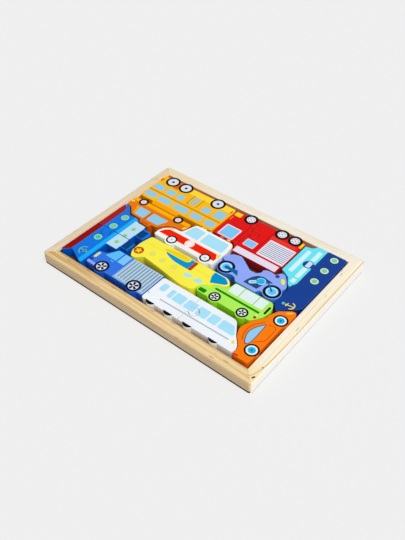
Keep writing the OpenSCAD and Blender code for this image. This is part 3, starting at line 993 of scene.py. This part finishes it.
ship_anchor = flowing([(-112.8, -73.8), (-116.6, -76.2), (-118.2, -80.2), (-116.6, -84.2), (-112.8, -86.6)])
deck_lights = (-17.2, -32, -46)
prints["ship_stern"] = prints["ship_bow"] = [
    ("keel_dark", 1, block(-136, -126.6, -97, -34.2, 0)),
    ("keel_red", 1, rounded([(-136, -33.8), (-126.6, -33.8), (-126.6, 2), (-128, 7, 1), (-131.6, 10.3, 1),
                             (-136, 10.2)])),
    ("aqua", 1, block(-107, -101.2, -97, 1, 0)),
    ("deck_white", 1, block(-101.2, -84, -55.8, -4, 0)),
    ("funnel_navy", 1, block(-83.4, -73.6, -24.2, -11.4, 0.8)),
    ("funnel_navy", 1, block(-83.4, -74.4, -48.8, -36, 0.8)),
    ("anchor_green", 1, stroke(ship_anchor, 1.3)),
    ("anchor_green", 2, stroke([(-117.8, -80.2), (-109.8, -80.2)], 1.3)),
    ("anchor_green", 2, stroke([(-111.4, -82.8), (-111.4, -77.6)], 1.1)),
    ("anchor_green", 2, disc(-108.6, -80.2, 1.4, 20)),
    *[("leaf_pale", 2, disc(-93, y, 3.7)) for y in deck_lights],
    *[("leaf", 3, disc(-93, y, 2.4)) for y in deck_lights],
]

cabin_panes = [(69.6, 88.4), (36.4, 55.6), (26.6, 33.8)]
prints["boat_cabin"] = [
    ("cabin_white", 1, block(90.6, 96, 40.4, 82.4, 1.4)),
    *[("cabin_white", 1, block(101.8, 107.4, low, high, 1.4)) for low, high in cabin_panes],
]

boat_anchor = flowing([(124, 0.6), (126.6, -0.6), (127.8, -3.7), (127, -6.8), (124.6, -8.4)])
prints["boat_hull"] = [
    ("knob_white", 1, block(101.8, 107.4, 57.2, 67.6, 0.6)),
    ("anchor_yellow", 1, stroke([(117, -5.2), (127.4, -3.8)], 1.2)),
    ("anchor_yellow", 2, stroke([(119.2, -7), (119.8, -2.4)], 1.2)),
    ("anchor_yellow", 2, stroke(boat_anchor, 1.4)),
    ("anchor_ring", 1, disc(115.4, -5.3, 1.9, 24)),
]

# Wheels and portholes: places, three radii, three inks and the level of the lowest ring

car_wheels = [(127.4, -28), (126.8, -78.2)]
bus_wheels = [(-118.6, 85.3), (-96.7, 85.3), (-44.2, 85.3)]
plane_portholes = [(-45.5, -34.8), (-29.5, -36), (-11.8, -36.2)]
hull_portholes = [(123.5, 86), (123.5, 64.5), (123.5, 43.5)]
ship_portholes = [(-116.5, -7.5), (-116.5, -27.6)]
fire_wheel = ((8.9, 5.6, 0.9), ("black", "chrome", "graphite"), 4)

targets = {
    "bus": [(bus_wheels, (9.9, 7.0, 1.9), ("black", "silver", "midnight"), 4)],
    "taxi": [([(-119.8, 29.8), (-62.7, 29.8)], (6.6, 3.9, 0.8), ("umber", "rose_grey", "slate"), 4)],
    "ambulance": [([(-45, -2.4), (5.6, -2.4)], (6.8, 4.8, 1), ("black", "ice", "slate"), 4)],
    "plane": [(plane_portholes, (3.9, 3.0, 1.9), ("butter", "olive_light", "pistachio"), 1)],
    "motorcycle": [([(33.7, 1.2), (96.2, 1)], (10.2, 6.9, 4.8), ("midnight", "frost", "sky_disc"), 1)],
    "minibus": [([(52.5, -43.8), (89.2, -43.8)], (6.9, 4.8, 1), ("black", "ice", "silver"), 4)],
    "pickup": [([(-76.5, -86.6), (-27, -86.6)], (9, 6.2, 1.3), ("midnight", "silver", "silver"), 4)],
    "car": [(car_wheels, (8.1, 6.1, 4.2), ("umber", "ice", "cerulean"), 2),
            (car_wheels, (1.1, 0.8, 0.7), ("cobalt", "cobalt", "cobalt"), 5)],
    "fire_truck_cab": [([(6.7, 86.4)], *fire_wheel)],
    "fire_truck_body": [([(52, 86.6), (70.4, 86.6)], *fire_wheel)],
    "ship_stern": [(ship_portholes, (4.9, 3.3, 2.1), ("port_green", "port_teal", "leaf"), 1)],
    "ship_bow": [([(-116.5, -53.5)], (4.9, 3.3, 2.1), ("port_green", "port_teal", "port_teal"), 1)],
    "boat_hull": [(hull_portholes, (4.7, 3.1, 2.4), ("port_lime", "port_sage", "port_sage"), 1)],
}
spoked = ("minibus", "pickup")
bolted = ("fire_truck_cab", "fire_truck_body")

# Rows of bars: place of the first one, ink and sizes

slats = {
    "fire_truck_body": ((64.6, 44.2), "shutter_line",
                        {"Count": 9, "Step": (0, 2.85, 0), "Width": 33, "Height": 1.15, "Rounding": 0.3}),
    "pickup": ((-51.2, -71.6), "bed_grey",
               {"Count": 10, "Step": (4.2, 0, 0), "Width": 1.7, "Height": 31.4, "Rounding": 0.5}),
}


# Building

def film_sizes(level):
    return {"Lift": level * INK_LIFT, "Sink": INK_SINK}


def make_prints(body, limit, inks, trees):
    """All that is printed on one piece, as one mesh."""
    sheets = bmesh.new()
    used = []
    for ink, level, outline in prints[body]:
        if ink not in used:
            used.append(ink)
        add_plate(sheets, outline, limit, level, used.index(ink))
    meshes = [finished_mesh(sheets, body + "_sheets", [inks[ink] for ink in used])]
    for spots, radii, names, level in targets.get(body, []):
        values = {f"{layer} Radius": radius for layer, radius in zip(LAYERS, radii)}
        values |= {f"{layer} Ink": inks[name] for layer, name in zip(LAYERS, names)}
        meshes.append(grown(trees["target"], spots, {**values, **film_sizes(1), "Level": level}))
    if body in spoked:
        spots, (_, rim, hub), (tyre, _, _), _ = targets[body][0]
        rim_gap, hub_overlap = 0.6, 0.1
        start = hub - hub_overlap
        length = rim - rim_gap - start
        values = {"Count": 5, "Degrees": 40, "Circle Radius": start + length / 2, "Length": length,
                  "Inner Width": 0.3 * rim, "Outer Width": 0.52 * rim, "Rounding": 0.4, "Ink": inks[tyre]}
        meshes.append(grown(trees["spoke"], spots, {**values, **film_sizes(WHEEL_TOP_LEVEL)}))
    if body in bolted:
        values = {"Count": 8, "Degrees": 0, "Circle Radius": 3.9, "Bolt Radius": 0.7}
        values["Ink"] = inks["graphite"]
        meshes.append(grown(trees["bolt"], targets[body][0][0], {**values, **film_sizes(WHEEL_TOP_LEVEL)}))
    if body in slats:
        first, ink, values = slats[body]
        meshes.append(grown(trees["slat"], [first], {**values, **film_sizes(BAR_LEVEL), "Ink": inks[ink]}))
    return joined(body + "_print", meshes)


def rail_profile(width, height):
    """Cross-section of a rail from its outer foot up and over to the inner side with its groove."""
    foot, outer, inner = RAIL_FOOT_ROUND, RAIL_OUTER_ROUND, RAIL_INNER_ROUND
    profile = []
    for across, up, radius, start in ((foot, foot, foot, 270), (outer, height - outer, outer, 180),
                                      (width - inner, height - inner, inner, 90)):
        profile += arc(across, up, radius, math.radians(start), -math.pi / 2, RAIL_EDGE_STEPS)
    panel_low, panel_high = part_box("base_panel")
    groove_top = panel_high.z / MM + GROOVE_CLEARANCE
    groove_low = panel_low.z / MM
    groove_end = width - GROOVE_DEPTH
    profile += [(width, groove_top), (groove_end, groove_top), (groove_end, groove_low), (width, groove_low)]
    return profile + [(width, 0)]


def rail_mesh(node, finish):
    """One mitred rail with soft edges, its ends following the rounded corner of the tray."""
    low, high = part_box(node)
    size = (high - low) / MM
    ends = (frame_length, frame_width) if size.x > size.y else (frame_width, frame_length)
    left, front = -ends[0] / 2 + MITRE_GAP, -ends[1] / 2
    sides = {"rail_front": 0, "rail_right": 90, "rail_back": 180, "rail_left": 270}
    turn = Matrix.Rotation(math.radians(sides[node]), 4, "Z")
    mesh = bmesh.new()
    loops = []
    for across, up in rail_profile(min(size.x, size.y), size.z):
        radius = max(0.0, TRAY_CORNER_ROUND - across)
        bend = max(TRAY_CORNER_ROUND, across)
        mitre = math.radians(225)
        line = arc(left + bend, front + bend, radius, mitre, math.pi / 4, RAIL_CORNER_STEPS)
        line += [(-x, y) for x, y in reversed(line)]
        loops.append([mesh.verts.new(turn @ Vector((x, y, up)) * MM) for x, y in line])
    for first, second in zip(loops, loops[1:] + loops[:1]):
        for index in range(len(first) - 1):
            mesh.faces.new((first[index], first[index + 1], second[index + 1], second[index]))
    mesh.faces.new([loop[0] for loop in loops])
    mesh.faces.new([loop[-1] for loop in reversed(loops)])
    bmesh.ops.remove_doubles(mesh, verts=mesh.verts, dist=1e-6)
    bmesh.ops.dissolve_degenerate(mesh, dist=1e-6, edges=mesh.edges)
    bmesh.ops.recalc_face_normals(mesh, faces=mesh.faces)
    for face in mesh.faces:
        face.smooth = True
    for edge in mesh.edges:
        edge.smooth = edge.calc_face_angle(0.0) < SHARP_ANGLE
    return finished_mesh(mesh, node + "_wood", [finish])


def light_room():
    """Soft key light from the right, a pale even room and a pale floor."""
    lamp = bpy.data.lights.new("key", "SUN")
    lamp.energy = 2.4
    lamp.angle = math.radians(40)
    key = new_object(lamp)
    key.rotation_euler = (0, math.radians(32), math.radians(-20))
    world = bpy.data.worlds.new("room")
    bpy.context.scene.world = world
    world.use_nodes = True
    world.node_tree.nodes.clear()
    bench = Bench(world.node_tree)
    rays = bench.add("ShaderNodeLightPath")
    seen = rays.most(rays["Is Glossy Ray"]).most(rays["Is Transmission Ray"])
    fill = bench.add("ShaderNodeBackground", {"Color": (1, 1, 1, 1), "Strength": 0.36})
    backdrop = bench.add("ShaderNodeBackground", {"Color": srgb(238, 238, 238), "Strength": 1.0})
    mixed = bench.add("ShaderNodeMixShader", {0: seen, 1: fill, 2: backdrop})
    bench.add("ShaderNodeOutputWorld", {"Surface": mixed})
    ground = bmesh.new()
    bmesh.ops.create_circle(ground, cap_ends=True, segments=96, radius=6.0)
    hair_below = -0.00005
    bmesh.ops.translate(ground, verts=ground.verts, vec=(0, 0, hair_below))
    finish = Finish("floor_paper")
    pale = srgb(239, 239, 239)
    finish.set(Base_Color=shaded(pale, 0.3), Emission_Color=pale, Emission_Strength=0.7)
    finish.set(Roughness=1.0, Specular_IOR_Level=0.0)
    floor = new_object(finished_mesh(ground, "floor", [finish.material]))
    bpy.context.scene.view_settings.view_transform = "Standard"


aim_camera()
light_room()

frame_length = (cad_box[1][0] - cad_box[0][0]) / MM
frame_width = (cad_box[1][1] - cad_box[0][1]) / MM
tan = (srgb(238, 211, 160), srgb(226, 194, 139), srgb(203, 164, 105))
cream = (srgb(254, 247, 230), srgb(250, 240, 216), srgb(243, 226, 194))
chalk = (srgb(247, 241, 226), srgb(239, 230, 210), srgb(226, 211, 184))
sand = (srgb(236, 216, 188), srgb(227, 204, 172), srgb(211, 184, 146))

# For each rail its slot, its pale, warm and dark wood, the way of its grain, lean, flecks and marks

rails = {
    "front": ("rail_wood_tan", tan, "X", 0.028, 0.16, front_rail_marks),
    "right": ("rail_wood_pale", cream, "Y", 0.012, 0.04, right_rail_marks),
    "back": ("rail_wood_pale", chalk, "X", -0.02, 0.05, back_rail_marks),
    "left": ("rail_wood_pale", sand, "Y", 0.02, 0.05, left_rail_marks),
}
for side, (slot, *wood) in rails.items():
    node = "rail_" + side
    finish = rail_finish(side + "_rail_wood", *wood)
    rail = new_object(rail_mesh(node, finish))
    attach(rail, "tray")
    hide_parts(node)

board = frame["nodes"]["base_panel"].data.materials
# The floor board is made dark brown as painted shade for the narrow gaps between the pieces
gap_shade_board = board_finish("panel_board", srgb(96, 70, 50), srgb(76, 54, 38))
if len(board):
    board[0] = gap_shade_board
else:
    board.append(gap_shade_board)

inks = {name: ink_finish(name + "_ink", srgb(*colour)) for name, colour in ink_colours.items()}
paints = {}
for name, colour in paint_colours.items():
    # The sides of each paint in painted light or painted shade
    side_light_shade = srgb(*side_light_shade_colours[name]) if name in side_light_shade_colours else side_shade_and_bounce(srgb(*colour)[:3])
    paints[name] = paint_finish(name, srgb(*colour), side_light_shade)
trees = {"target": target_tree(), "spoke": spoke_tree(), "bolt": bolt_tree(), "slat": slat_tree()}
slots = {part["node"]: part["material_slot"] for part in frame["record"]["subparts"]}

for body in prints:
    outline = top_outline(body)
    paint = slots[body]
    # The train's white is cooler than the ambulance's
    coat = paints["pearl_paint" if body.startswith("train") else paint]
    board_piece = new_object(body_mesh(body + "_board", outline, coat))
    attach(board_piece, body)
    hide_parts(body)
    artwork = new_object(make_prints(body, inset(outline, PRINT_MARGIN), inks, trees))
    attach(artwork, body)
